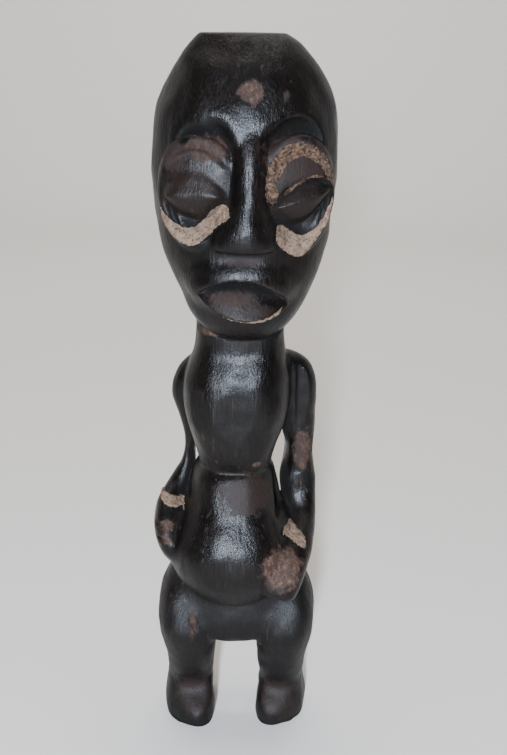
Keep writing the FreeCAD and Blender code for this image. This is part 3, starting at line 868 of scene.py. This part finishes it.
# %% Dark wood
def dark_wood():
    """Stained wood: colour from fibre, wear and some painted light, gloss from strokes, height and depth, and
    a fine relief.
    """
    board = Board("dark_wood")
    fibre = board.noise(board.stretched(1, 1, 0.06), 1500, 5, 0.65)
    strokes = board.noise(board.stretched(1, 1, 0.25), 200, 3, 0.5, 0.5)
    cloud = board.noise(board.place, 55, 4, 0.55)
    grit = board.noise(board.place, 800, 4, 0.65)
    dents = board.noise(board.place, 75, 2, 0.5)

    tone = board.sum("MULTIPLY", board.span(cloud, 0.35, 0.7), board.span(fibre, 0.35, 0.65))
    colour = board.blend(tone, NEAR_BLACK, DARK_BROWN)
    outward = board.add("ShaderNodeAttribute", attribute_name="edge")
    edges = board.span(outward.outputs["Fac"], 0.04, 0.20)
    wear_and_painted_light = board.sum("MULTIPLY", edges, board.span(cloud, 0.42, 0.66))
    wear_and_painted_light = board.sum("MULTIPLY", wear_and_painted_light, 0.7)
    for centre, radii, share in RUBBED_AND_PAINTED_LIGHT:
        ragged = grit if min(radii) < 3 else board.noise(board.place, 330, 4, 0.65)
        spot = board.spot(centre, radii, ragged)
        wear_and_painted_light = board.sum("MAXIMUM", wear_and_painted_light, board.sum("MULTIPLY", spot, share))
    for lean in SCRATCHES:
        line = board.span(board.noise(board.stretched(1, 1, 0.05, lean), 620, 2, 0.5), 0.665, 0.70)
        patchy = board.span(board.noise(board.place, 45 + lean / 5, 2, 0.5), 0.52, 0.60)
        wear_and_painted_light = board.sum("MAXIMUM", wear_and_painted_light, board.sum("MULTIPLY", board.sum("MULTIPLY", line, patchy), 0.5))
    # reddish brown where worn, and painted light on the upper lip and on the tops of the feet
    colour = board.blend(wear_and_painted_light, colour, REDDISH)
    mottle = board.noise(board.stretched(1, 1, 0.5), 700, 5, 0.7, 0.4)
    flecks = board.sum("MULTIPLY", board.span(wear_and_painted_light, 0.45, 0.9), board.span(mottle, 0.46, 0.66))
    colour = board.blend(flecks, colour, BARE_WOOD)
    board.feed(board.shader.inputs["Base Color"], colour)

    shade = board.add("ShaderNodeAmbientOcclusion", samples=8)
    shade.inputs["Distance"].default_value = 7 * MM
    deep = board.span(shade.outputs["AO"], 0.92, 0.60)
    gloss = board.span(strokes, 0.3, 0.7, 0.24, 0.36)
    gloss = board.sum("ADD", gloss, board.span(fibre, 0.35, 0.7, -0.03, 0.10))
    height = board.add("ShaderNodeSeparateXYZ")
    board.feed(height.inputs["Vector"], board.place)
    gloss = board.sum("ADD", gloss, board.span(height.outputs["Z"], *LEGS_DULL, 0.0, 0.20))
    gloss = board.sum("MAXIMUM", gloss, board.span(deep, 0, 1, 0.2, 1.0))
    gloss = board.sum("MAXIMUM", gloss, board.span(wear_and_painted_light, 0, 0.5, 0.3, 0.72))
    board.feed(board.shader.inputs["Roughness"], gloss)

    normal = board.bump(dents, 0.35, 0.0012)
    normal = board.bump(strokes, 0.40, 0.0007, normal)
    normal = board.bump(fibre, 0.60, 0.00030, normal)
    normal = board.bump(grit, 0.50, 0.00024, normal)
    board.feed(board.shader.inputs["Normal"], normal)
    board.shader.inputs["Specular IOR Level"].default_value = 0.20
    return board.material


# %% [markdown]
# ## Clay finish
# The clay is dry and matt. It is cloudy, specked with dark dust, and rubbed through to the wood in places.
# The ring round the doll's left eye is browner and more worn than the rest, so one recipe makes two finishes.


# %% Clay
def clay(name, pale, dark, speck, bare):
    """Matt clay: cloudy, specked with dark wood dust, and rubbed through to the wood in places."""
    board = Board(name)
    cloud = board.noise(board.place, 300, 4, 0.65)
    grain = board.noise(board.place, 1500, 4, 0.65)
    colour = board.blend(board.span(cloud, 0.35, 0.65), dark, pale)
    specks = board.span(board.noise(board.place, 1300, 3, 0.6), 0.57, 0.66)
    through = board.span(board.noise(board.place, 900, 5, 0.75), bare, bare - 0.12)
    colour = board.blend(board.sum("MAXIMUM", specks, through), colour, speck)
    board.feed(board.shader.inputs["Base Color"], colour)
    board.shader.inputs["Roughness"].default_value = 0.92
    board.shader.inputs["Specular IOR Level"].default_value = 0.2
    normal = board.bump(cloud, 0.6, 0.0006)
    normal = board.bump(grain, 0.6, 0.0003, normal)
    board.feed(board.shader.inputs["Normal"], normal)
    return board.material


# %% The three finishes
wood = dark_wood()
pale_clay = clay("pale_clay", pale=(0.175, 0.120, 0.084, 1), dark=(0.095, 0.060, 0.040, 1),
                 speck=(0.02, 0.012, 0.008, 1), bare=0.43)
ochre_clay = clay("ochre_clay", pale=(0.105, 0.063, 0.039, 1), dark=(0.042, 0.024, 0.015, 1),
                  speck=(0.010, 0.006, 0.004, 1), bare=0.53)
print("finishes:", wood.name, pale_clay.name, ochre_clay.name)

# %% [markdown]
# ## Placing the pieces
# Each finished form goes back from the bench to metres, and takes the place of the solid it covers. Points
# that would leave the solid model's box are drawn back to it.


# %% Put back, name and hand over
CREASE_ANGLE = 50           # degrees; an edge sharper than this stays sharp


def put_back(thing):
    """Takes a form from the bench to metres, inside the solid model's box, and shades it smooth."""
    thing.data.transform(Matrix.Scale(MM, 4))
    low, high = cad_box
    for vertex in thing.data.vertices:
        for axis in range(3):
            vertex.co[axis] = min(max(vertex.co[axis], low[axis]), high[axis])
    only(thing)
    bpy.ops.object.shade_smooth_by_angle(angle=math.radians(CREASE_ANGLE))


def hand_over(thing, finish):
    put_back(thing)
    thing.data.materials.clear()
    thing.data.materials.append(finish)
    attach(thing, "root")
    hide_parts(thing.name.removeprefix("carved_"))


bpy.data.objects.remove(trunk, do_unlink=True)
for form in wood_forms:
    hand_over(form, wood)
for patch in clay_forms:
    if patch.name == "carved_brow_clay":
        hand_over(patch, ochre_clay)
    else:
        hand_over(patch, pale_clay)
print("handed over:", len(wood_forms) + len(clay_forms), "pieces")

# %% [markdown]
# ## Floor and wall
# The doll stands on a plain pale sheet that curves up into a wall, as photographers use. The sheet is one
# plane: its back edge is moved in, pulled up, and the fold is rounded with a bevel.

# %% Floor
FLOOR_SIZE = 60             # metres, wide enough to fill the view
WALL_DISTANCE = 1.7
WALL_HEIGHT = 3
FOLD_RADIUS = 0.6
bpy.ops.object.select_all(action="DESELECT")
bpy.ops.mesh.primitive_plane_add(size=FLOOR_SIZE)
floor = bpy.context.object
floor.name = "floor"
bpy.ops.object.mode_set(mode="EDIT")
bpy.ops.mesh.select_mode(type="EDGE")
bpy.ops.mesh.select_all(action="DESELECT")
sheet = bmesh.from_edit_mesh(floor.data)
for edge in sheet.edges:
    edge.select_set(all(vertex.co.y > WALL_DISTANCE for vertex in edge.verts))
bmesh.update_edit_mesh(floor.data)
bpy.ops.mesh.extrude_region_move(TRANSFORM_OT_translate={"value": (0, 0, WALL_HEIGHT)})
bpy.ops.object.mode_set(mode="OBJECT")
for vertex in floor.data.vertices:
    vertex.co.y = min(vertex.co.y, WALL_DISTANCE)
finish_with(floor, "BEVEL", width=FOLD_RADIUS, segments=16, limit_method="ANGLE")
floor.data.shade_smooth()
plain = bpy.data.materials.new("plain_floor")
plain.use_nodes = True
plain.node_tree.nodes["Principled BSDF"].inputs["Base Color"].default_value = (0.60, 0.57, 0.53, 1)
plain.node_tree.nodes["Principled BSDF"].inputs["Roughness"].default_value = 0.8
floor.data.materials.append(plain)
